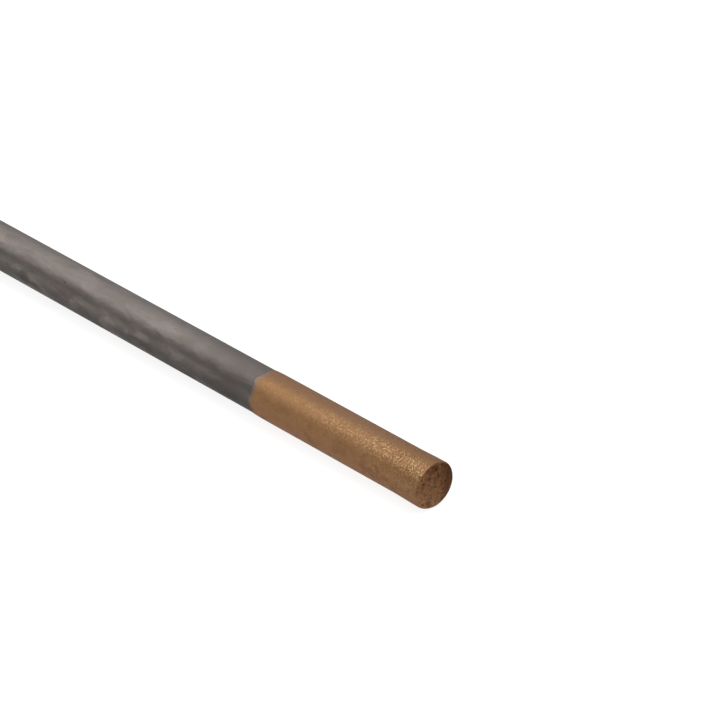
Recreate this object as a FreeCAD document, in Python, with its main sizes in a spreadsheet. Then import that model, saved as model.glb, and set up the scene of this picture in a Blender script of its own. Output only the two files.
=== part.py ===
"""Tungsten electrode for TIG welding, lying on its side.

The metal is one solid: a ground rod of sintered and drawn tungsten alloy, cut
square at both ends with the sharp edge just broken.  One end carries the
colour code that tells the alloy, a thin coat of gold lacquer that wraps the
last stretch of the rod and closes over its end face.

Frame, millimetres: the axis of the rod is X, the coated end points to +X and
the bare end, which is the one that is ground to a point for use, to -X.  The
origin is on the axis at half the length of the metal rod.  +Z is up.
"""

import FreeCAD
import Part

import math
import os

import Sketcher

doc = FreeCAD.newDocument("tungsten_electrode")

# ------------------------------------------------------------------ sizes
SIZES = [
    # alias, value in millimetres, what it is
    ("rod_diameter", 2.4, "ground diameter of the metal"),
    ("rod_length", 150.0, "metal only, end face to end face"),
    ("edge_break", 0.05, "45 degree break of both cut edges"),
    ("coat_length", 12.2, "from the lacquer's edge to the metal's end face"),
    ("coat_bead", 0.08, "lacquer on the side at the end, on the radius"),
    ("coat_bead_length", 1.8, "length of the bead, back from the coated face"),
    ("coat_wall", 0.04, "lacquer on the side where the bead starts"),
    ("coat_wall_back", 0.03, "lacquer on the side just behind its edge"),
    ("coat_end", 0.05, "lacquer on the end face"),
    ("coat_round", 0.15, "outer rounding of the coated corner"),
    ("coat_lip", 0.015, "lacquer left at its very edge"),
    ("coat_feather", 0.5, "length over which the edge thins out"),
]
sheet = doc.addObject("Spreadsheet::Sheet", "sizes")
sheet.Label = "sizes"
for row, (alias, value, note) in enumerate(SIZES, start=1):
    sheet.set("A%d" % row, alias)
    sheet.set("B%d" % row, "%g" % value)
    sheet.set("C%d" % row, note)
    sheet.setAlias("B%d" % row, alias)
doc.recompute()


def cell(name):
    return float(sheet.get(name))


def origin_feature(body, role):
    return next(f for f in body.Origin.OriginFeatures if f.Role == role)


def vector(x, y):
    return FreeCAD.Vector(x, y, 0)


def named(sketch, constraint, name, expression):
    """Adds a driving dimension and binds it to the sheet."""
    index = sketch.addConstraint(constraint)
    sketch.renameConstraint(index, name)
    sketch.setExpression("Constraints." + name, expression)


# ------------------------------------------------------------- tungsten rod
# A round bar, padded both ways from the middle, with the burr taken off the
# rim of each cut.
rod = doc.addObject("PartDesign::Body", "tungsten_rod")
rod.Label = "tungsten_rod"

section = rod.newObject("Sketcher::SketchObject", "rod_section")
section.AttachmentSupport = [(origin_feature(rod, "YZ_Plane"), "")]
section.MapMode = "FlatFace"
section.addGeometry(
    Part.Circle(vector(0, 0), FreeCAD.Vector(0, 0, 1), cell("rod_diameter") / 2), False
)
section.addConstraint(Sketcher.Constraint("Coincident", 0, 3, -1, 1))
named(
    section,
    Sketcher.Constraint("Diameter", 0, cell("rod_diameter")),
    "diameter",
    "sizes.rod_diameter",
)

bar = rod.newObject("PartDesign::Pad", "rod_bar")
bar.Profile = section
bar.Midplane = True
bar.setExpression("Length", "sizes.rod_length")
doc.recompute()

rims = [
    "Edge%d" % (i + 1)
    for i, e in enumerate(bar.Shape.Edges)
    if isinstance(e.Curve, Part.Circle)
]
breaks = rod.newObject("PartDesign::Chamfer", "rod_edge_breaks")
breaks.Base = (bar, rims)
breaks.setExpression("Size", "sizes.edge_break")
doc.recompute()

# --------------------------------------------------------- colour-code coat
# The half section of the lacquer, turned about the rod's axis: a cup that
# lies on the side, the broken edge and the end face of the metal.  The rod was
# dipped and hung to drain with this end down, so the lacquer thins out at its
# edge, thickens towards the end into a bead, and is pulled round the corner.
coat = doc.addObject("PartDesign::Body", "tip_colour_coat")
coat.Label = "tip_colour_coat"

half = coat.newObject("Sketcher::SketchObject", "coat_half_section")
half.AttachmentSupport = [(origin_feature(coat, "XY_Plane"), "")]
half.MapMode = "FlatFace"

radius = cell("rod_diameter") / 2
end = cell("rod_length") / 2
brk = cell("edge_break")
back = end - cell("coat_length")
outer = radius + cell("coat_bead")
even = radius + cell("coat_wall")
thin = radius + cell("coat_wall_back")
face = end + cell("coat_end")
rnd = cell("coat_round")
bead = face - cell("coat_bead_length")
feather = back + cell("coat_feather")

corner = [
    (back, radius),  # 0 on the metal, at the lacquer's edge
    (end - brk, radius),  # 1 on the metal, where the break starts
    (end, radius - brk),  # 2 rim of the metal's end face
    (end, 0.0),  # 3 centre of the metal's end face
    (face, 0.0),  # 4 centre of the coated face
    (face, outer - rnd),  # 5 where the coated corner starts
    (face - rnd, outer),  # 6 where it ends
    (bead, even),  # 7 where the bead starts
    (feather, thin),  # 8 where the even coat starts
    (back, radius + cell("coat_lip")),  # 9 top of the thin edge
]
# Bead and even coat are each one shallow arc, level at the end nearer the face
# and lower at the back by the difference of the walls.
bows = {}
for i in (6, 7):
    run = corner[i][0] - corner[i + 1][0]
    drop = corner[i][1] - corner[i + 1][1]
    bows[i] = (run, (run**2 + drop**2) / (2 * drop))
up = FreeCAD.Vector(0, 0, 1)
line = {}
for i in range(len(corner)):
    j = (i + 1) % len(corner)
    if i == 5:
        circle = Part.Circle(vector(face - rnd, outer - rnd), up, rnd)
        line[i] = half.addGeometry(Part.ArcOfCircle(circle, 0.0, math.pi / 2), False)
    elif i in bows:
        run, bow = bows[i]
        circle = Part.Circle(vector(corner[i][0], corner[i][1] - bow), up, bow)
        line[i] = half.addGeometry(
            Part.ArcOfCircle(circle, math.pi / 2, math.pi / 2 + math.asin(run / bow)), False
        )
    else:
        line[i] = half.addGeometry(
            Part.LineSegment(vector(*corner[i]), vector(*corner[j])), False
        )

# ends meet; each arc starts at its end nearer the face
for i in range(len(corner)):
    j = (i + 1) % len(corner)
    if i == 4:
        half.addConstraint(Sketcher.Constraint("Tangent", line[4], 2, line[5], 1))
    elif i == 5:
        half.addConstraint(Sketcher.Constraint("Tangent", line[5], 2, line[6], 1))
    else:
        half.addConstraint(Sketcher.Constraint("Coincident", line[i], 2, line[j], 1))
half.addConstraint(Sketcher.Constraint("Horizontal", line[0]))
half.addConstraint(Sketcher.Constraint("Vertical", line[2]))
half.addConstraint(Sketcher.Constraint("PointOnObject", line[3], 1, -1))
half.addConstraint(Sketcher.Constraint("Horizontal", line[3]))
half.addConstraint(Sketcher.Constraint("Vertical", line[4]))
half.addConstraint(Sketcher.Constraint("Vertical", line[5], 2, line[5], 3))
half.addConstraint(Sketcher.Constraint("Vertical", line[7], 1, line[7], 3))
half.addConstraint(Sketcher.Constraint("Vertical", line[9]))

DIMENSIONS = [
    ("DistanceY", (-1, 1, line[0], 1), radius, "metal_radius", "sizes.rod_diameter / 2"),
    (
        "DistanceX",
        (-1, 1, line[0], 1),
        back,
        "lacquer_edge",
        "sizes.rod_length / 2 - sizes.coat_length",
    ),
    ("DistanceX", (-1, 1, line[2], 1), end, "metal_end", "sizes.rod_length / 2"),
    (
        "DistanceX",
        (-1, 1, line[0], 2),
        end - brk,
        "break_start",
        "sizes.rod_length / 2 - sizes.edge_break",
    ),
    (
        "DistanceY",
        (-1, 1, line[2], 1),
        radius - brk,
        "face_rim",
        "sizes.rod_diameter / 2 - sizes.edge_break",
    ),
    (
        "DistanceX",
        (-1, 1, line[4], 1),
        face,
        "coated_face",
        "sizes.rod_length / 2 + sizes.coat_end",
    ),
    ("Radius", (line[5],), rnd, "corner_round", "sizes.coat_round"),
    (
        "DistanceY",
        (-1, 1, line[5], 3),
        outer - rnd,
        "corner_centre",
        "sizes.rod_diameter / 2 + sizes.coat_bead - sizes.coat_round",
    ),
    (
        "DistanceX",
        (-1, 1, line[7], 1),
        bead,
        "bead_start",
        "sizes.rod_length / 2 + sizes.coat_end - sizes.coat_bead_length",
    ),
    (
        "DistanceY",
        (-1, 1, line[7], 1),
        even,
        "bead_start_radius",
        "sizes.rod_diameter / 2 + sizes.coat_wall",
    ),
    (
        "DistanceX",
        (-1, 1, line[8], 1),
        feather,
        "even_coat_start",
        "sizes.rod_length / 2 - sizes.coat_length + sizes.coat_feather",
    ),
    (
        "DistanceY",
        (-1, 1, line[8], 1),
        thin,
        "even_coat_radius",
        "sizes.rod_diameter / 2 + sizes.coat_wall_back",
    ),
    (
        "DistanceY",
        (-1, 1, line[9], 1),
        radius + cell("coat_lip"),
        "lip_radius",
        "sizes.rod_diameter / 2 + sizes.coat_lip",
    ),
]
for kind, where, value, name, expression in DIMENSIONS:
    named(half, Sketcher.Constraint(kind, *where, value), name, expression)
doc.recompute()

turned = coat.newObject("PartDesign::Revolution", "coat_turned")
turned.Profile = half
turned.ReferenceAxis = (half, ["H_Axis"])
turned.Angle = 360.0
doc.recompute()

# ------------------------------------------------------------------- checks
for obj in doc.Objects:
    if "Invalid" in obj.State or "Error" in obj.State:
        raise RuntimeError("%s is %s" % (obj.Name, obj.State))
for sketch in (section, half):
    if sketch.solve() != 0:
        raise RuntimeError("%s has no solution" % sketch.Name)

pieces = [rod, coat]
for piece in pieces:
    shape = piece.Shape
    if shape.isNull() or not shape.isValid() or len(shape.Solids) != 1:
        raise RuntimeError("%s is not one valid solid" % piece.Label)
    box = shape.optimalBoundingBox(False)
    print(
        "%-16s volume %9.3f mm3   x %8.3f %8.3f   y %6.3f %6.3f   z %6.3f %6.3f"
        % (piece.Label, shape.Volume, box.XMin, box.XMax, box.YMin, box.YMax, box.ZMin, box.ZMax)
    )
shared = rod.Shape.common(coat.Shape).Volume
print("metal and lacquer share %.6f mm3" % shared)
if shared > 0.001:
    raise RuntimeError("the lacquer reaches into the metal")

# ------------------------------------------------------------------- export
os.makedirs("parts", exist_ok=True)
for piece in pieces:
    piece.Shape.exportStep(os.path.join("parts", piece.Label + ".step"))
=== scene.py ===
import math
import random

import bmesh
import bpy
from mathutils import Matrix, Vector, noise


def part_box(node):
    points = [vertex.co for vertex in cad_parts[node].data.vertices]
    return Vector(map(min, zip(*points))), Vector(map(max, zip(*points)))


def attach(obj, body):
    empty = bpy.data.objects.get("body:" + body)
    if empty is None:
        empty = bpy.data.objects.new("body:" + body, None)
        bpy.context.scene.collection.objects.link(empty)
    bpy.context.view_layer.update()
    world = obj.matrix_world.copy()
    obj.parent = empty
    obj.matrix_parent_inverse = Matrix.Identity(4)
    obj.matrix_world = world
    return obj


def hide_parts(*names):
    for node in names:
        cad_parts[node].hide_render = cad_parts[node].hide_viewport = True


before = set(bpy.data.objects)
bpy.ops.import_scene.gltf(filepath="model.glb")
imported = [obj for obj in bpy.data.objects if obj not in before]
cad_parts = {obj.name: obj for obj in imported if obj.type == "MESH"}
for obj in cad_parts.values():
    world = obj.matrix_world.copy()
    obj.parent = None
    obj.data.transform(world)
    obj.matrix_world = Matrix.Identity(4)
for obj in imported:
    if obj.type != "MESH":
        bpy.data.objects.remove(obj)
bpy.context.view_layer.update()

MM = 0.001

# ---------------------------------------------------------------- CAD sizes
rod_lo, rod_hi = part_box("tungsten_rod")
coat_lo, coat_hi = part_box("tip_colour_coat")
X0, X1 = rod_lo.x / MM, rod_hi.x / MM  # metal end faces, millimetres
R = 1.2  # metal radius
RC = 1.24  # lacquer radius
BEAD = 0.04  # how much the lacquer swells at the coated end
BEAD_LENGTH = 1.8
XC0, XC1 = coat_lo.x / MM, coat_hi.x / MM  # lacquer edge and coated face
BREAK = 0.05  # broken edge of the metal


def n3(x, y, z, seed=0.0):
    return noise.noise(Vector((x + seed, y + 1.7 * seed, z - 0.9 * seed)))


def fbm(x, y, z, octaves, seed=0.0):
    v, a, t = 0.0, 1.0, 0.0
    for k in range(octaves):
        v += a * n3(x * 2**k, y * 2**k, z * 2**k, seed + 31.0 * k)
        t += a
        a *= 0.5
    return v / t


def smooth(lo, hi, v):
    t = min(1.0, max(0.0, (v - lo) / (hi - lo)))
    return t * t * (3 - 2 * t)


# ------------------------------------------------------------- mesh helpers
TURN = 2 * math.pi
START = -math.pi / 2  # rings start and unwrap from the underside


def ring_angles(seg):
    return [START + TURN * j / seg for j in range(seg)]


class Lathe:
    """Rings of points about X, joined into one closed skin, with a UV map of its own."""

    def __init__(self, seg):
        self.seg = seg
        self.bm = bmesh.new()
        self.uv = self.bm.loops.layers.uv.new("OFBake")
        self.rings = []

    def ring(self, points):
        """points is a list of (x, radius, angle) in millimetres"""
        self.rings.append(
            [
                self.bm.verts.new((x * MM, r * math.cos(a) * MM, r * math.sin(a) * MM))
                for x, r, a in points
            ]
        )
        return len(self.rings) - 1

    def skin(self, first, last, put):
        """faces between rings first..last; put(k, j, side) gives the UV of a corner"""
        for k in range(first, last):
            a, b = self.rings[k], self.rings[k + 1]
            for j in range(self.seg):
                i = (j + 1) % self.seg
                f = self.bm.faces.new((a[j], a[i], b[i], b[j]))
                for loop, uv in zip(f.loops, (put(k, j), put(k, j + 1), put(k + 1, j + 1), put(k + 1, j))):
                    loop[self.uv].uv = uv

    def cap(self, x, k, put, centre):
        c = self.bm.verts.new((x * MM, 0, 0))
        ring = self.rings[k]
        for j in range(self.seg):
            i = (j + 1) % self.seg
            f = self.bm.faces.new((c, ring[j], ring[i]))
            for loop, uv in zip(f.loops, (centre, put(k, j), put(k, j + 1))):
                loop[self.uv].uv = uv

    def done(self, name, attributes=()):
        bmesh.ops.recalc_face_normals(self.bm, faces=self.bm.faces)
        mesh = bpy.data.meshes.new(name)
        self.bm.to_mesh(mesh)
        self.bm.free()
        for p in mesh.polygons:
            p.use_smooth = True
        for label, value_of in attributes:
            at = mesh.attributes.new(label, "FLOAT", "POINT")
            for i, v in enumerate(mesh.vertices):
                at.data[i].value = value_of(v.co)
        obj = bpy.data.objects.new(name, mesh)
        bpy.context.collection.objects.link(obj)
        return obj


# ------------------------------------------------------------ tungsten rod
def ground_radius(x, a):
    """the ground surface is never quite round or straight"""
    y, z = math.cos(a), math.sin(a)
    d = 0.5 + 0.5 * fbm(x * 0.35, y * 2.0, z * 2.0, 3, 3.0)
    d += 0.45 * (0.5 + 0.5 * fbm(x * 0.9, y * 3.6, z * 3.6, 2, 17.0))
    return R - 0.0042 * max(0.0, d)


def make_rod():
    lathe = Lathe(96)
    ang = ring_angles(lathe.seg)
    arc = {}
    # bare end face, dished by a hair where the cut ran out
    s = 0.0
    last = (X0, 0.0)
    for f in (0.1, 0.22, 0.34, 0.46, 0.58, 0.7, 0.8, 0.88, 0.95, 1.0):
        r = (R - BREAK) * f
        dish = 0.004 * (1 - f)
        k = lathe.ring([(X0 + dish + 0.0015 * (0.5 + 0.5 * n3(0.3, r * math.cos(a) * 1.5, r * math.sin(a) * 9.0, 5.0)) * (1 if f < 1 else 0), r, a) for a in ang])
        s += r - last[1]
        last = (X0, r)
        arc[k] = s
    # broken edge
    for t in (0.2, 0.4, 0.6, 0.8):
        b = t * math.pi / 2
        x, r = X0 + BREAK * (1 - math.cos(b)), R - BREAK + BREAK * math.sin(b)
        k = lathe.ring([(x, r - 0.002 * (0.5 + 0.5 * n3(t * 2, math.cos(a) * 6, math.sin(a) * 6, 12.0)), a) for a in ang])
        s += math.hypot(x - last[0], r - last[1])
        last = (x, r)
        arc[k] = s
    x = X0 + BREAK
    first = lathe.ring([(x, ground_radius(x, a), a) for a in ang])
    arc[first] = s + math.hypot(x - last[0], R - last[1])
    xs = {first: x}
    while x < X1 - BREAK - 1e-6:
        step = 0.22 if x < 38.0 else 0.11 if x < XC0 + 0.8 else 0.6
        x = min(x + step, X1 - BREAK)
        if X1 - BREAK - x < 0.05:
            x = X1 - BREAK
        k = lathe.ring([(x, ground_radius(x, a), a) for a in ang])
        xs[k] = x
    side_end = k
    for f in (1.0, 0.8, 0.5, 0.2):
        k = lathe.ring([(X1, (R - BREAK) * f, a) for a in ang])
    last_ring = k
    # the two ends lie beside each other above four strips of side
    strip = (X1 - X0) / 4
    height = TURN * R
    sx = 0.985 / strip
    sy = 0.985 / (4 * height + 5 * 0.35 + 2.75)

    def side(k, j, s):
        return (
            0.0075 + (xs[k] - X0 - s * strip) * sx,
            0.0075 + s * (height + 0.35) * sy + j / lathe.seg * height * sy,
        )

    base = 0.0075 + (4 * (height + 0.35) + 1.35) * sy
    for k in range(first, side_end):
        s = min(3, int(((xs[k] + xs[k + 1]) / 2 - X0) / strip))
        lathe.skin(k, k + 1, lambda kk, j, s=s: tuple(min(0.996, max(0.004, c)) for c in side(kk, j, s)))

    scale = min(sx, sy) * 0.98

    def bare(k, j):
        a = START + TURN * j / lathe.seg
        return (0.06 + arc[k] * math.cos(a) * scale, base + arc[k] * math.sin(a) * scale)

    lathe.skin(0, first, bare)
    lathe.cap(X0 + 0.004, 0, bare, (0.06, base))

    def hidden(k, j):
        a = START + TURN * j / lathe.seg
        r = {side_end: 1.28, side_end + 1: 1.15, side_end + 2: 0.92, side_end + 3: 0.575, side_end + 4: 0.23}[k]
        return (0.15 + r * math.cos(a) * scale, base + r * math.sin(a) * scale)

    lathe.skin(side_end, last_ring, hidden)
    lathe.cap(X1, last_ring, hidden, (0.15, base))
    return lathe.done("tungsten_rod_ground")


# ------------------------------------------------------------ lacquer coat
# where the edge of the lacquer runs, as (angle about the rod, distance past XC0)
EDGE = [(0, 0.14), (32, 0.05), (66, 0.10), (100, 0.20), (121, 0.02), (143, 0.17), (158, 0.23), (177.6, 0.04), (200, 0.18), (232, 0.08), (262, 0.21), (300, 0.06), (334, 0.19)]


# outer rounding of the coated corner: tight on top, wide below where the drop hung
ROUND = [(0, 0.15), (45, 0.11), (90, 0.10), (130, 0.11), (165, 0.17), (205, 0.25), (250, 0.26), (290, 0.21), (330, 0.17)]


def round_the_rod(table, a):
    d = math.degrees(a) % 360
    pts = table + [(360 + table[0][0], table[0][1])]
    for (a0, v0), (a1, v1) in zip(pts, pts[1:]):
        if a0 <= d <= a1:
            t = (d - a0) / (a1 - a0)
            return v0 + (v1 - v0) * t * t * (3 - 2 * t)
    return table[0][1]


def edge_at(a):
    v = round_the_rod(EDGE, a)
    y, z = math.cos(a), math.sin(a)
    fine = 0.035 * n3(y * 9, z * 9, 2.0, 5.0) + 0.02 * n3(y * 24, z * 24, 4.0, 9.0)
    return max(0.0, v + fine)


# pits in the coated end face: (y, z, half width, half height, turn, depth), millimetres
PITS = [
    (0.07, 0.87, 0.085, 0.125, 0.3, 0.022), (0.23, 0.47, 0.065, 0.130, -0.1, 0.018), (-0.39, 0.54, 0.095, 0.070, 0.5, 0.016),
    (-0.77, 0.38, 0.080, 0.085, 0.2, 0.020), (-0.80, 0.17, 0.060, 0.075, -0.4, 0.014), (0.44, 1.02, 0.075, 0.060, 0.6, 0.014),
    (0.69, 0.02, 0.050, 0.085, 0.4, 0.015), (0.10, -0.12, 0.050, 0.070, 0.9, 0.010), (-0.84, -0.43, 0.050, 0.105, 0.1, 0.012),
    (-0.48, -0.56, 0.060, 0.060, 0.7, 0.009), (0.62, -0.45, 0.055, 0.080, -0.5, 0.010), (-0.30, -0.15, 0.045, 0.080, 0.2, 0.008),
]
rnd = random.Random(11)
for tries in range(4000):
    if len(PITS) >= 34:
        break
    rr, aa = math.sqrt(rnd.random()) * 1.06, rnd.random() * TURN
    y, z = rr * math.cos(aa), rr * math.sin(aa)
    w = rnd.uniform(0.035, 0.055)
    h = w * rnd.uniform(1.0, 1.7)
    if any(math.hypot(y - p[0], z - p[1]) < 1.3 * (h + p[3]) for p in PITS):
        continue
    PITS.append((y, z, w, h, rnd.uniform(-0.7, 0.7), rnd.uniform(0.006, 0.011)))


def pit_at(y, z):
    """(depth in millimetres, painted shade 0..1) of the pits at a point of the coated face"""
    depth, shade_in_pit = 0.0, 0.0
    for py, pz, w, h, t, d in PITS:
        dy, dz = y - py, z - pz
        if abs(dy) > 0.3 or abs(dz) > 0.3:
            continue
        a = (dy * math.cos(t) + dz * math.sin(t)) / (1.3 * w)
        b = (-dy * math.sin(t) + dz * math.cos(t)) / (1.3 * h)
        q = math.sqrt(a * a + b * b) * (1 + 0.5 * n3(y * 11, z * 11, 1.0, 6.0))
        f = 1 - smooth(0.3, 1.2, q)
        depth = max(depth, d * f)
        shade_in_pit = max(shade_in_pit, f * min(1.0, d / 0.02))
    return depth, shade_in_pit


def coat_side(x, a):
    """outer radius of the lacquer on the side, at x and angle a"""
    e = edge_at(a)
    run = x - (XC0 + e)
    # the film thins out at its edge, behind which it was drawn up a little
    thick = 0.003 + 0.032 * (1 - math.exp(-run / 0.26)) + 0.001 * math.exp(-(((run - 0.6) / 0.25) ** 2))
    y, z = math.cos(a), math.sin(a)
    # flakes of metal pigment lie under the skin and lift it; they show more towards the tip
    grow = 0.18 + 0.82 * smooth(1.0, 11.5, x - XC0)
    g = fbm(x * 4.6, y * 5.6, z * 5.6, 3, 41.0)
    w = 1.0 - abs(n3(x * 7.0, y * 8.4, z * 8.4, 77.0)) * 2.2
    d = grow * (0.0020 * (0.5 + 0.5 * g) + 0.0018 * (1 - max(0.0, w)))
    low = 0.0040 * (0.5 + 0.5 * fbm(x * 0.6, y * 1.2, z * 1.2, 2, 7.0))
    # bead at the coated end, fuller on the underside
    swell = max(0.0, 1 - (max(0.0, XC1 - 0.15 - x) / (BEAD_LENGTH + 0.1)) ** 2) ** 2
    bead = BEAD * swell * (0.70 + 0.30 * smooth(0.5, -0.4, z))
    return R + min(0.04, thick + 0.0038) + bead - (d + low) * min(1.0, run / 0.25)


def make_coat():
    lathe = Lathe(224)
    ang = ring_angles(lathe.seg)
    # inner surface, from the centre of the metal's end face back to the lacquer's edge
    for f in (0.25, 0.6, 1.0):
        lathe.ring([(X1, (R - BREAK) * f, a) for a in ang])
    corner_in = lathe.ring([(X1 - BREAK, R, a) for a in ang])
    xs_in = {corner_in: X1 - BREAK}
    for x in (73.0, 70.0, 67.0, 64.6):
        xs_in[lathe.ring([(x, R, a) for a in ang])] = x
    lip = lathe.ring([(XC0 + edge_at(a), R, a) for a in ang])
    xs_in[lip] = XC0 + 0.1
    # outer surface: the lip, the run out to full thickness, the side
    n_side = 290
    rho = [round_the_rod(ROUND, a) for a in ang]
    top = [coat_side(XC1 - q, a) - 0.0005 for q, a in zip(rho, ang)]
    side0 = len(lathe.rings)
    arc_side = {}
    for k in range(n_side + 1):
        t = k / n_side
        pts = []
        for q, a in zip(rho, ang):
            e = edge_at(a)
            x = XC0 + e + (XC1 - q - XC0 - e) * t
            pts.append((x, coat_side(x, a), a))
        arc_side[lathe.ring(pts)] = t
    side1 = len(lathe.rings) - 1
    # the corner, a little uneven
    corner = (0.08, 0.16, 0.25, 0.35, 0.45, 0.55, 0.65, 0.75, 0.84, 0.92, 1.0)
    for t in corner:
        b = t * math.pi / 2
        pts = []
        for q, r1, a in zip(rho, top, ang):
            y, z = math.cos(a), math.sin(a)
            x = XC1 - q + q * math.sin(b)
            r = r1 - q + q * math.cos(b)
            g = 0.004 * (0.5 + 0.5 * fbm(x * 6, r * y * 6, r * z * 6, 3, 51.0)) * smooth(0.0, 0.25, t)
            pts.append((x - g * math.sin(b), r - g * math.cos(b), a))
        lathe.ring(pts)
    # face
    nf = 34
    for k in range(1, nf):
        pts = []
        for q, r1, a in zip(rho, top, ang):
            rr = (r1 - q) * (1 - k / nf)
            y, z = rr * math.cos(a), rr * math.sin(a)
            g = fbm(1.0, y * 4.2, z * 4.2, 3, 61.0)
            broad = fbm(2.0, y * 1.1, z * 1.1, 2, 63.0)
            depth, shade_in_pit = pit_at(y, z)
            edge = smooth(0.0, 0.2, r1 - q - rr)
            pts.append((XC1 - 0.004 * (0.5 + 0.5 * g) - edge * (0.004 * (0.5 + 0.5 * broad) + depth), rr, a))
        lathe.ring(pts)
    last = len(lathe.rings) - 1
    # unwrapping
    length = XC1 - XC0
    s = 0.97 / length
    side_h = TURN * (RC + BEAD) * s
    seg = lathe.seg

    def side(k, j):
        if k == lip:
            return (0.0055, 0.015 + j / seg * side_h)
        a = START + TURN * (j % seg) / seg
        e = edge_at(a)
        x = e + (XC1 - rho[j % seg] - XC0 - e) * arc_side[k]
        return (0.012 + x * s, 0.015 + j / seg * side_h)

    reach = RC + BEAD + 0.2

    def face_arc(k, j):
        """length along the profile from the middle of the face"""
        q, r1 = rho[j % seg], top[j % seg]
        if k <= side1 + len(corner):
            t = 0.0 if k == side1 else corner[k - side1 - 1]
            return r1 - q + q * math.pi / 2 * (1 - t)
        return (r1 - q) * (1 - (k - side1 - len(corner)) / nf)

    cy = 0.015 + side_h + 0.018 + reach * s

    def face(k, j):
        a = START + TURN * j / seg
        return (0.13 + face_arc(k, j) * math.cos(a) * s, cy + face_arc(k, j) * math.sin(a) * s)

    inner_arc = {0: 0.3, 1: 0.72, 2: 1.2, corner_in: 1.27}

    def inner_face(k, j):
        a = START + TURN * j / seg
        return (0.36 + inner_arc[k] * math.cos(a) * s * 0.8, cy + inner_arc[k] * math.sin(a) * s * 0.8)

    def inner(k, j):
        return (0.49 + (xs_in[k] - XC0) * s * 0.5, 0.015 + side_h + 0.018 + j / seg * 0.2)

    lathe.cap(X1, 0, inner_face, (0.36, cy))
    lathe.skin(0, corner_in, inner_face)
    lathe.skin(corner_in, lip, inner)
    lathe.skin(lip, side1, side)
    lathe.skin(side1, last, face)
    lathe.cap(XC1 - 0.004, last, face, (0.13, cy))

    def run(co):
        a = math.atan2(co.z, co.y)
        return co.x / MM - XC0 - edge_at(a)

    def shade_in_pit(co):
        if co.x / MM < XC1 - 0.045:
            return 0.0
        return pit_at(co.y / MM, co.z / MM)[1]

    def turned(co):
        """0 on the side, 1 on the face, blending round the corner; the wider the corner, the slower"""
        q = round_the_rod(ROUND, math.atan2(co.z, co.y))
        x, r = co.x / MM, math.hypot(co.y, co.z) / MM
        if x < XC1 - q:
            return 0.0
        up = min(1.0, (x + 0.003 - (XC1 - q)) / q)
        way = q * math.asin(up) + max(0.0, RC + 0.5 * BEAD - q - r)
        return smooth(0.35 * q, 1.35 * q + 0.55 * smooth(0.12, 0.26, q), way)

    return lathe.done("tip_lacquer", (("edge_run", run), ("pit_shade", shade_in_pit), ("face", turned)))


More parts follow.
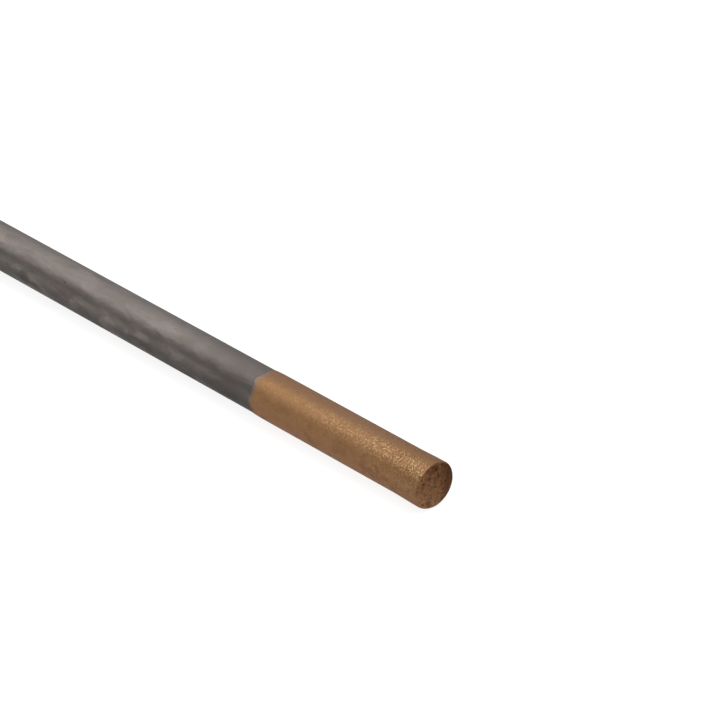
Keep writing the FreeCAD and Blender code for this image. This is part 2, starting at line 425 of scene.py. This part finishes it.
# ---------------------------------------------------------------- materials
class Nodes:
    def __init__(self, name):
        self.mat = bpy.data.materials.new(name)
        self.mat.use_nodes = True
        self.tree = self.mat.node_tree
        self.tree.nodes.clear()
        self.out = self.add("ShaderNodeOutputMaterial")
        self.bsdf = self.add("ShaderNodeBsdfPrincipled")
        self.tree.links.new(self.bsdf.outputs["BSDF"], self.out.inputs["Surface"])
        self.coord = self.add("ShaderNodeTexCoord").outputs["Object"]
        self.xyz = self.add("ShaderNodeSeparateXYZ")
        self.tree.links.new(self.coord, self.xyz.inputs[0])

    def add(self, kind, **props):
        n = self.tree.nodes.new(kind)
        for k, v in props.items():
            setattr(n, k, v)
        return n

    def feed(self, socket, value):
        """links a socket or sets a constant"""
        if isinstance(value, bpy.types.NodeSocket):
            self.tree.links.new(value, socket)
        else:
            socket.default_value = value

    def maths(self, op, a, b=None, c=None, clamp=False):
        m = self.add("ShaderNodeMath", operation=op, use_clamp=clamp)
        for i, v in enumerate((a, b, c)):
            if v is not None:
                self.feed(m.inputs[i], v)
        return m.outputs[0]

    def vector(self, op, a, b=None):
        m = self.add("ShaderNodeVectorMath", operation=op)
        self.feed(m.inputs[0], a)
        if b is not None:
            self.feed(m.inputs[1], b)
        return m.outputs["Value"] if op in ("LENGTH", "DISTANCE", "DOT_PRODUCT") else m.outputs["Vector"]

    def join(self, x, y, z=0.0):
        c = self.add("ShaderNodeCombineXYZ")
        for i, v in enumerate((x, y, z)):
            self.feed(c.inputs[i], v)
        return c.outputs[0]

    def noise(self, scale, detail=3.0, rough=0.5, warp=0.0, stretch=(1, 1, 1), offset=(0, 0, 0), source=None):
        m = self.add("ShaderNodeMapping")
        m.inputs["Scale"].default_value = stretch
        m.inputs["Location"].default_value = offset
        self.feed(m.inputs["Vector"], source or self.coord)
        t = self.add("ShaderNodeTexNoise")
        t.inputs["Scale"].default_value = scale
        t.inputs["Detail"].default_value = detail
        t.inputs["Roughness"].default_value = rough
        t.inputs["Distortion"].default_value = warp
        self.tree.links.new(m.outputs["Vector"], t.inputs["Vector"])
        return t.outputs["Fac"]

    def remap(self, value, lo, hi, a, b, soft=True):
        r = self.add("ShaderNodeMapRange", interpolation_type="SMOOTHSTEP" if soft else "LINEAR")
        for name, v in (("Value", value), ("From Min", lo), ("From Max", hi), ("To Min", a), ("To Max", b)):
            self.feed(r.inputs[name], v)
        return r.outputs["Result"]

    def mix(self, fac, a, b):
        m = self.add("ShaderNodeMix", data_type="RGBA", blend_type="MIX")
        self.feed(m.inputs[0], fac)
        for v, i in ((a, 6), (b, 7)):
            self.feed(m.inputs[i], (*v, 1.0) if isinstance(v, tuple) else v)
        return m.outputs[2]

    def mixed(self, fac, a, b):
        m = self.add("ShaderNodeMix", data_type="FLOAT")
        self.feed(m.inputs[0], fac)
        self.feed(m.inputs[2], a)
        self.feed(m.inputs[3], b)
        return m.outputs[0]

    def bump(self, height, distance, normal=None):
        b = self.add("ShaderNodeBump")
        b.inputs["Distance"].default_value = distance
        self.feed(b.inputs["Height"], height)
        if normal is not None:
            self.tree.links.new(normal, b.inputs["Normal"])
        return b.outputs["Normal"]

    def strokes(self, where, scale, half_length, half_width, bend, keep, offset):
        """short bent strokes, one to a cell, each lying its own way; where is in metres"""
        m = self.add("ShaderNodeMapping")
        m.inputs["Location"].default_value = offset
        self.feed(m.inputs["Vector"], where)
        where = m.outputs["Vector"]
        v = self.add("ShaderNodeTexVoronoi", voronoi_dimensions="2D", feature="F1")
        v.inputs["Scale"].default_value = scale
        v.inputs["Randomness"].default_value = 0.85
        self.tree.links.new(where, v.inputs["Vector"])
        local = self.vector("SUBTRACT", where, v.outputs["Position"])
        rgb = self.add("ShaderNodeSeparateColor")
        self.tree.links.new(v.outputs["Color"], rgb.inputs[0])
        turn = self.add("ShaderNodeVectorRotate", rotation_type="Z_AXIS")
        self.tree.links.new(local, turn.inputs["Vector"])
        self.feed(turn.inputs["Angle"], self.maths("MULTIPLY", rgb.outputs[0], math.pi))
        xy = self.add("ShaderNodeSeparateXYZ")
        self.tree.links.new(turn.outputs["Vector"], xy.inputs[0])
        along, across = xy.outputs[0], xy.outputs[1]
        arch = self.maths("MULTIPLY", self.maths("MULTIPLY", along, along), self.maths("MULTIPLY", self.maths("SUBTRACT", rgb.outputs[2], 0.5), bend))
        across = self.maths("ADD", across, arch)
        a = self.maths("DIVIDE", along, half_length)
        b = self.maths("DIVIDE", across, half_width)
        q = self.maths("SQRT", self.maths("ADD", self.maths("MULTIPLY", a, a), self.maths("MULTIPLY", b, b)))
        body = self.remap(q, 0.25, 1.15, 1.0, 0.0)
        there = self.remap(rgb.outputs[1], keep - 0.12, keep + 0.05, 1.0, 0.0)
        return self.maths("MULTIPLY", body, there)


def tungsten():
    n = Nodes("bare_tungsten")
    b = n.bsdf
    b.inputs["Metallic"].default_value = 1.0
    x = n.xyz.outputs[0]
    # cut face at the bare end: parallel marks across it instead of the ground finish
    cut = n.remap(x, (X0 + 0.008) * MM, (X0 + 0.02) * MM, 1.0, 0.0)
    # soft clouds left by grinding and cleaning, drawn out along the rod
    cloud = n.noise(1500.0, 4.0, 0.55, 0.6, stretch=(0.4, 1, 1), offset=(3, 1, 2))
    streak = n.noise(2600.0, 3.0, 0.5, 0.2, stretch=(0.16, 1, 1))
    tone = n.maths("ADD", n.maths("MULTIPLY", n.remap(cloud, 0.32, 0.68, 0.0, 1.0), 0.65), n.maths("MULTIPLY", n.remap(streak, 0.34, 0.66, 0.0, 1.0), 0.35))
    col = n.mix(tone, (0.272, 0.232, 0.212), (0.362, 0.316, 0.293))
    hue = n.noise(420.0, 3.0, 0.5, 0.8, stretch=(0.5, 1, 1), offset=(8, 5, 7))
    col = n.mix(n.remap(hue, 0.42, 0.66, 0.0, 0.6), col, (0.300, 0.282, 0.250))
    # paler spots, most of them low on the rod: painted reflections
    low_sheen = n.noise(1500.0, 2.0, 0.5, 0.5, stretch=(0.42, 1, 1), offset=(2, 7, 6))
    low_sheen = n.maths("MULTIPLY", n.remap(low_sheen, 0.50, 0.66, 0.0, 1.0), n.remap(n.xyz.outputs[2], 0.2 * MM, 0.8 * MM, 0.92, 0.15))
    col = n.mix(low_sheen, col, (0.455, 0.402, 0.376))
    dim = n.noise(1300.0, 2.0, 0.5, 0.5, stretch=(0.42, 1, 1), offset=(9, 2, 3))
    col = n.mix(n.maths("MULTIPLY", n.remap(dim, 0.53, 0.68, 0.0, 0.78), n.remap(n.xyz.outputs[2], 0.2 * MM, 0.8 * MM, 1.0, 0.3)), col, (0.215, 0.184, 0.168))
    # the metal turns darker and a little rougher towards the lacquer's edge, more on its upper side
    reach_noise = n.noise(700.0, 3.0, 0.5, 0.4, offset=(6, 2, 9))
    toward_lacquer = n.remap(n.maths("ADD", x, n.maths("MULTIPLY", n.maths("SUBTRACT", reach_noise, 0.5), 5.0 * MM)), 54.5 * MM, 61.5 * MM, 0.0, 1.0)
    col = n.mix(n.maths("MULTIPLY", toward_lacquer, n.remap(n.xyz.outputs[2], -0.4 * MM, 0.5 * MM, 0.42, 0.75)), col, (0.215, 0.187, 0.176))
    # sparse dull specks: pores left by sintering
    pore = n.noise(4600.0, 2.0, 0.6, 0.3, stretch=(0.7, 1, 1), offset=(7, 3, 5))
    p = n.remap(pore, 0.655, 0.78, 0.0, 1.0)
    col = n.mix(n.maths("MULTIPLY", p, 0.6), col, (0.11, 0.096, 0.088))
    lines = n.noise(9000.0, 2.0, 0.5, 0.15, stretch=(1, 0.05, 1), offset=(1, 5, 3))
    col = n.mix(cut, col, n.mix(n.remap(lines, 0.35, 0.65, 0.0, 1.0), (0.25, 0.225, 0.21), (0.41, 0.375, 0.35)))
    n.feed(b.inputs["Base Color"], col)
    rough = n.remap(cloud, 0.3, 0.7, 0.40, 0.32)
    rough = n.maths("ADD", rough, n.maths("MULTIPLY", toward_lacquer, 0.05))
    n.feed(b.inputs["Roughness"], rough)
    # relief: undulation, grinding lines, pores, cut marks
    plain = n.maths("SUBTRACT", 1.0, cut)
    wave = n.noise(620.0, 2.0, 0.5, 0.4, stretch=(0.4, 1, 1), offset=(1, 9, 4))
    at = n.bump(n.maths("MULTIPLY", wave, plain), 0.000058)
    lump = n.noise(1900.0, 2.0, 0.5, 0.3, stretch=(0.6, 1, 1), offset=(4, 4, 1))
    at = n.bump(n.maths("MULTIPLY", lump, plain), 0.000032, at)
    grind = n.noise(5200.0, 2.0, 0.5, 0.0, stretch=(0.25, 1, 1), offset=(2, 2, 8))
    at = n.bump(n.maths("MULTIPLY", grind, plain), 0.000003, at)
    at = n.bump(n.maths("MULTIPLY", p, -1.0), 0.000004, at)
    at = n.bump(n.maths("MULTIPLY", lines, cut), 0.000010, at)
    n.feed(b.inputs["Normal"], at)
    return n.mat


def lacquer():
    n = Nodes("gold_lacquer")
    b = n.bsdf
    b.inputs["Specular Tint"].default_value = (1.0, 0.76, 0.52, 1.0)
    x, y, z = (n.xyz.outputs[i] for i in range(3))
    run = n.add("ShaderNodeAttribute", attribute_name="edge_run").outputs["Fac"]
    pit_shade = n.add("ShaderNodeAttribute", attribute_name="pit_shade").outputs["Fac"]
    face = n.add("ShaderNodeAttribute", attribute_name="face").outputs["Fac"]
    # flat coordinates on the film: along and round the side, straight across the face
    on_face = n.maths("GREATER_THAN", face, 0.5)
    turn = n.maths("ARCTAN2", y, z)
    round_it = n.maths("MULTIPLY", turn, RC * MM)
    flat = n.join(n.mixed(on_face, x, y), n.mixed(on_face, round_it, z))
    # flakes of metal pigment
    one = n.strokes(flat, 4000.0, 0.165 * MM, 0.038 * MM, 4200.0, 0.86, (0.0, 0.0, 0.0))
    two = n.strokes(flat, 5600.0, 0.110 * MM, 0.029 * MM, 6000.0, 0.72, (0.0137, 0.0093, 0.0))
    flake = n.maths("MAXIMUM", one, two)
    far = n.remap(x, (XC0 + 0.5) * MM, (XC1 - 1.0) * MM, 0.0, 1.0, soft=False)
    show = n.remap(n.maths("POWER", far, 1.4), 0.0, 1.0, 0.16, 1.0)
    patchy = n.noise(1500.0, 2.0, 0.5, 0.3, offset=(2, 6, 1))
    show = n.maths("MULTIPLY", show, n.remap(patchy, 0.3, 0.65, 0.5, 1.0))
    # the flakes are shown mostly on the upper side, where the light falls: painted glints
    glint_side = n.maths("MAXIMUM", n.remap(z, 0.42 * MM, 0.88 * MM, n.remap(far, 0.6, 1.0, 0.16, 0.42), 1.0), n.maths("MULTIPLY", face, 0.8))
    show = n.maths("MULTIPLY", show, glint_side)
    flake = n.maths("MULTIPLY", flake, show)
    # the resin between them, with finer grain
    grain = n.noise(9000.0, 2.0, 0.6, 0.3, offset=(4, 8, 2))
    blot = n.noise(900.0, 3.0, 0.55, 0.5, offset=(9, 4, 6))
    mid = n.noise(3300.0, 3.0, 0.55, 0.6, offset=(3, 3, 6))
    resin = n.mix(n.remap(mid, 0.32, 0.68, 0.0, 1.0), (0.440, 0.223, 0.095), (0.505, 0.267, 0.119))
    resin = n.mix(n.remap(grain, 0.3, 0.7, 0.18, 0.0), resin, (0.33, 0.145, 0.060))
    gap = n.strokes(flat, 5000.0, 0.100 * MM, 0.033 * MM, 6000.0, 0.72, (0.0251, 0.0177, 0.0))
    resin = n.mix(n.maths("MULTIPLY", gap, n.maths("MULTIPLY", show, 0.95)), resin, (0.125, 0.047, 0.017))
    resin = n.mix(n.remap(blot, 0.34, 0.7, 0.0, 0.3), resin, (0.495, 0.262, 0.115))
    col = n.mix(flake, resin, (0.93, 0.650, 0.360))
    # painted shade: a browner, darker strip along one shoulder
    shaded_shoulder = n.maths("MULTIPLY", n.remap(turn, -0.55, 0.02, 0.0, 1.0), n.remap(turn, 0.72, 1.30, 1.0, 0.0))
    col = n.mix(n.maths("MULTIPLY", shaded_shoulder, 0.70), col, (0.250, 0.124, 0.070))
    # painted light: a paler strip underneath, where bounced light falls
    lit_underside = n.remap(z, -0.50 * MM, 0.40 * MM, 1.0, 0.0)
    col = n.mix(n.maths("MULTIPLY", lit_underside, 0.80), col, (0.800, 0.400, 0.208))
    settled = n.noise(1250.0, 3.0, 0.6, 0.8, offset=(6, 1, 8))
    col = n.mix(n.maths("MULTIPLY", n.remap(settled, 0.47, 0.66, 0.0, 0.38), n.remap(z, 0.45 * MM, 0.80 * MM, 1.0, 0.0)), col, (0.330, 0.150, 0.064))
    fleck = n.noise(2900.0, 3.0, 0.6, 0.7, offset=(2, 8, 3))
    fleck = n.maths("MULTIPLY", n.remap(fleck, 0.50, 0.66, 0.0, 0.50), n.remap(far, 0.50, 0.85, 0.0, 1.0))
    col = n.mix(n.maths("MULTIPLY", fleck, n.remap(z, 0.45 * MM, 0.80 * MM, 1.0, 0.0)), col, (0.270, 0.112, 0.045))
    speck = n.noise(5200.0, 2.0, 0.6, 0.3, offset=(5, 2, 9))
    speck = n.maths("MULTIPLY", n.remap(speck, 0.47, 0.64, 0.0, 0.50), n.remap(turn, -0.05, 0.25, 0.0, 1.0))
    col = n.mix(n.maths("MULTIPLY", speck, n.remap(far, 0.0, 0.5, 0.4, 1.0)), col, (0.185, 0.080, 0.040))
    warm = n.maths("MULTIPLY", n.remap(x, (XC1 - 4.0) * MM, (XC1 - 0.8) * MM, 0.0, 0.20), n.remap(z, 0.2 * MM, 0.6 * MM, 0.0, 1.0))
    col = n.mix(warm, col, (0.300, 0.112, 0.033))
    # and a dull pink sheen along the top: a painted reflection
    top_sheen = n.maths("MULTIPLY", n.remap(turn, 0.40, 0.68, 0.0, 0.55), n.remap(turn, 1.10, 1.60, 1.0, 0.0))
    col = n.mix(n.maths("MULTIPLY", top_sheen, n.remap(patchy, 0.3, 0.7, 0.5, 1.0)), col, (0.420, 0.265, 0.200))
    # the end face took the drip: browner and darker, with open pits; its colour runs lighter below and darker above,
    # painted bounce light and painted shade
    height = n.maths("ADD", z, n.maths("MULTIPLY", n.maths("SUBTRACT", mid, 0.5), 1.4 * MM))
    face_tone_and_shade = n.mix(n.remap(height, -0.95 * MM, 0.85 * MM, 0.0, 1.0), (0.48, 0.225, 0.096), (0.27, 0.092, 0.029))
    curl = n.noise(3900.0, 1.0, 0.5, 1.6, offset=(5, 7, 3))
    face_colour_and_shade = n.mix(n.maths("MULTIPLY", n.remap(curl, 0.50, 0.64, 0.0, 1.0), 0.50), face_tone_and_shade, (0.60, 0.33, 0.17))
    face_colour_and_shade = n.mix(n.maths("MULTIPLY", n.remap(curl, 0.33, 0.47, 1.0, 0.0), 0.55), face_colour_and_shade, (0.14, 0.050, 0.020))
    face_colour_and_shade = n.mix(n.maths("MULTIPLY", n.maths("MAXIMUM", one, two), 0.25), face_colour_and_shade, (0.60, 0.33, 0.17))
    # painted light on the left of the face, painted shade on its right and round its lower right rim
    face_colour_and_shade = n.mix(n.remap(y, -0.90 * MM, 0.0, 0.42, 0.0), face_colour_and_shade, (0.640, 0.310, 0.145))
    face_colour_and_shade = n.mix(n.remap(y, 0.25 * MM, 0.95 * MM, 0.0, 0.82), face_colour_and_shade, (0.135, 0.038, 0.011))
    toward_shaded_rim = n.maths("SUBTRACT", n.maths("MULTIPLY", y, 0.6), n.maths("MULTIPLY", z, 0.8))
    face_colour_and_shade = n.mix(n.remap(toward_shaded_rim, 0.68 * MM, 1.10 * MM, 0.0, 0.60), face_colour_and_shade, (0.190, 0.085, 0.042))
    col = n.mix(n.maths("MULTIPLY", face, n.remap(grain, 0.3, 0.7, 0.98, 0.85)), col, face_colour_and_shade)
    # painted shade in the pits
    col = n.mix(n.maths("MULTIPLY", pit_shade, 0.9), col, (0.070, 0.026, 0.012))
    # painted shade: darker patches over the wide part of the corner, most on its lower side
    wide = n.maths("MULTIPLY", n.remap(face, 0.01, 0.20, 0.0, 1.0), n.remap(face, 0.55, 0.95, 1.0, 0.0))
    wide = n.maths("MULTIPLY", wide, n.remap(z, 0.30 * MM, 0.60 * MM, 0.75, 0.0))
    shade_patches = n.noise(3500.0, 3.0, 0.55, 0.5, stretch=(0.8, 1, 0.7), offset=(7, 2, 4))
    col = n.mix(n.maths("MULTIPLY", wide, n.remap(shade_patches, 0.36, 0.54, 1.0, 0.0)), col, (0.190, 0.078, 0.034))
    # painted shade: a dark line inside the tight part of the corner, and a duller one round its underside
    out = n.maths("SQRT", n.maths("ADD", n.maths("MULTIPLY", y, y), n.maths("MULTIPLY", z, z)))
    crease_shade = n.maths("MULTIPLY", n.remap(face, 0.60, 0.90, 0.0, 1.0), n.remap(out, 1.06 * MM, 1.13 * MM, 0.0, 1.0))
    crease_shade = n.maths("MULTIPLY", crease_shade, n.remap(z, 0.30 * MM, 0.8 * MM, 0.0, 0.80))
    crease_shade = n.maths("MULTIPLY", crease_shade, n.remap(y, -0.6 * MM, 0.2 * MM, 0.55, 1.0))
    crease_shade = n.maths("MULTIPLY", crease_shade, n.remap(curl, 0.36, 0.56, 1.0, 0.25))
    col = n.mix(crease_shade, col, (0.085, 0.030, 0.011))
    bend = n.maths("MULTIPLY", n.remap(face, 0.02, 0.30, 0.0, 1.0), n.remap(face, 0.35, 0.80, 1.0, 0.0))
    rim_shade_below = n.maths("MULTIPLY", n.remap(y, 0.2 * MM, 0.7 * MM, 0.0, 1.0), n.remap(z, 0.1 * MM, 0.5 * MM, 1.0, 0.0))
    col = n.mix(n.maths("MULTIPLY", n.maths("MULTIPLY", bend, rim_shade_below), 0.85), col, (0.12, 0.068, 0.045))
    # at its very edge the film is thin enough to let the metal through
    ragged = n.noise(3800.0, 3.0, 0.6, 0.3, offset=(1, 3, 7))
    thin = n.remap(n.maths("ADD", run, n.maths("MULTIPLY", n.maths("SUBTRACT", ragged, 0.5), 0.34)), 0.0, 0.42, 1.0, 0.0)
    col = n.mix(thin, col, (0.335, 0.272, 0.243))
    n.feed(b.inputs["Base Color"], col)
    metal = n.mixed(flake, 0.33, 1.0)
    n.feed(b.inputs["Metallic"], n.mixed(thin, metal, 0.97))
    rough = n.mixed(flake, n.remap(grain, 0.3, 0.7, 0.37, 0.31), 0.24)
    n.feed(b.inputs["Roughness"], rough)
    at = n.bump(flake, 0.0000085)
    at = n.bump(n.maths("MULTIPLY", grain, n.remap(far, 0.0, 1.0, 0.3, 1.0)), 0.0000060, at)
    n.feed(b.inputs["Normal"], at)
    return n.mat


def floor_material():
    n = Nodes("pale_floor")
    b = n.bsdf
    b.inputs["Base Color"].default_value = (0.27, 0.27, 0.27, 1)
    b.inputs["Roughness"].default_value = 0.9
    b.inputs["Specular IOR Level"].default_value = 0.0
    b.inputs["Emission Color"].default_value = (1.0, 1.0, 1.0, 1)
    b.inputs["Emission Strength"].default_value = 0.87
    return n.mat


def backdrop_material():
    m = bpy.data.materials.new("pale_backdrop")
    m.use_nodes = True
    t = m.node_tree
    t.nodes.clear()
    e = t.nodes.new("ShaderNodeEmission")
    e.inputs["Color"].default_value = (1.0, 1.0, 1.0, 1)
    o = t.nodes.new("ShaderNodeOutputMaterial")
    t.links.new(e.outputs[0], o.inputs["Surface"])
    return m


# ------------------------------------------------------------------- pieces
rod = make_rod()
rod.data.materials.append(tungsten())
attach(rod, "root")
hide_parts("tungsten_rod")

coat = make_coat()
coat.data.materials.append(lacquer())
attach(coat, "root")
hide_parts("tip_colour_coat")

# -------------------------------------------------------------------- stage
bpy.ops.mesh.primitive_circle_add(vertices=96, radius=6.0, fill_type="NGON", location=(0, 0, -(RC + BEAD) * MM))
floor = bpy.context.object
floor.name = "floor"
floor.data.materials.append(floor_material())
floor.visible_glossy = False
floor.visible_diffuse = False

bpy.ops.mesh.primitive_uv_sphere_add(segments=48, ring_count=24, radius=6.0)
backdrop = bpy.context.object
backdrop.name = "backdrop"
backdrop.data.materials.append(backdrop_material())
for flag in ("visible_diffuse", "visible_glossy", "visible_transmission", "visible_volume_scatter", "visible_shadow"):
    setattr(backdrop, flag, False)

# soft light all round, as from long diffusers hung beside and over the rod:
# brightness by the angle about the rod's axis (0 = +Y, 90 = up, 180 = -Y)
DOME = [
    (0, 0.34), (20, 0.50), (40, 0.66), (60, 0.72), (80, 0.86), (100, 1.00), (120, 0.93), (139, 0.50), (156, 0.215),
    (174, 0.34), (190, 0.53), (206, 0.42), (224, 0.29), (250, 0.24), (280, 0.25), (300, 0.25), (330, 0.28), (360, 0.34),
]
world = bpy.data.worlds.new("studio")
bpy.context.scene.world = world
world.use_nodes = True
wt = world.node_tree
bg = wt.nodes["Background"]


def wnode(kind, **props):
    n = wt.nodes.new(kind)
    for k, v in props.items():
        setattr(n, k, v)
    return n


tc = wnode("ShaderNodeTexCoord")
xyz = wnode("ShaderNodeSeparateXYZ")
wt.links.new(tc.outputs["Generated"], xyz.inputs[0])
angle = wnode("ShaderNodeMath", operation="ARCTAN2")
wt.links.new(xyz.outputs[2], angle.inputs[0])
wt.links.new(xyz.outputs[1], angle.inputs[1])
share = wnode("ShaderNodeMath", operation="DIVIDE")
wt.links.new(angle.outputs[0], share.inputs[0])
share.inputs[1].default_value = TURN
part = wnode("ShaderNodeMath", operation="FRACT")
wt.links.new(share.outputs[0], part.inputs[0])
ramp = wnode("ShaderNodeValToRGB")
wt.links.new(part.outputs[0], ramp.inputs[0])
cr = ramp.color_ramp
cr.elements[0].position, cr.elements[1].position = 0.0, 1.0
for d, v in DOME[1:-1]:
    cr.elements.new(d / 360)
for e, (d, v) in zip(cr.elements, DOME):
    e.color = (v, v, v, 1)
# even light beyond the rod's ends, and dimmer beyond the coated one
ends = wnode("ShaderNodeMath", operation="ABSOLUTE")
wt.links.new(xyz.outputs[0], ends.inputs[0])
even = wnode("ShaderNodeMapRange", interpolation_type="SMOOTHSTEP")
wt.links.new(ends.outputs[0], even.inputs["Value"])
even.inputs["From Min"].default_value, even.inputs["From Max"].default_value = 0.75, 1.0
blend = wnode("ShaderNodeMix", data_type="RGBA")
wt.links.new(even.outputs[0], blend.inputs[0])
wt.links.new(ramp.outputs[0], blend.inputs[6])
blend.inputs[7].default_value = (0.42, 0.42, 0.42, 1)
wt.links.new(blend.outputs[2], bg.inputs["Color"])
fade = wnode("ShaderNodeMapRange")
wt.links.new(xyz.outputs[0], fade.inputs["Value"])
fade.inputs["From Min"].default_value, fade.inputs["From Max"].default_value = 0.1, 1.0
fade.inputs["To Min"].default_value, fade.inputs["To Max"].default_value = 1.0, 0.75
wt.links.new(fade.outputs[0], bg.inputs["Strength"])



def area(name, direction, distance, size, radiance, target=(0.07, 0, 0)):
    light = bpy.data.lights.new(name, "AREA")
    light.shape = "RECTANGLE"
    light.size, light.size_y = size
    light.energy = radiance * math.pi * size[0] * size[1]
    obj = bpy.data.objects.new(name, light)
    d = Vector(direction).normalized()
    obj.location = Vector(target) + d * distance
    obj.rotation_mode = "QUATERNION"
    obj.rotation_quaternion = (-d).to_track_quat("-Z", "Y")
    obj.visible_camera = False
    bpy.context.collection.objects.link(obj)
    return obj


# a small diffuser overhead, which catches the rounded corner of the coated end
area("overhead", (0.26, 0.02, 0.965), 0.9, (0.24, 0.30), 4.5)

# ------------------------------------------------------------------- camera
# the photograph's view: the coated end's centre at pixel (435.0, 486.0)
F, U0, V0, ZD = 3500.0, 435.0, 486.0, 0.16727
E, AL = math.radians(29.6), math.radians(47.03)
right = Vector((math.cos(AL), math.sin(AL), 0))
level = Vector((-math.sin(AL), math.cos(AL), 0))
ahead = level * math.cos(E) - Vector((0, 0, 1)) * math.sin(E)
upward = level * math.sin(E) + Vector((0, 0, 1)) * math.cos(E)
tip = Vector((XC1 * MM, 0, 0))
place = tip - ((U0 - 352.5) / F * ZD * right - (V0 - 352.5) / F * ZD * upward + ZD * ahead)
cam_data = bpy.data.cameras.new("camera")
cam_data.sensor_width = 36.0
cam_data.lens = 36.0 * F / 705.0
cam_data.clip_start, cam_data.clip_end = 0.01, 20.0
cam = bpy.data.objects.new("camera", cam_data)
basis = Matrix((right, upward, -ahead)).transposed()
cam.matrix_world = Matrix.Translation(place) @ basis.to_4x4()
bpy.context.collection.objects.link(cam)
bpy.context.scene.camera = cam

vs = bpy.context.scene.view_settings
vs.view_transform = "Standard"
vs.look = "None"
vs.exposure = 0.0
vs.gamma = 1.0
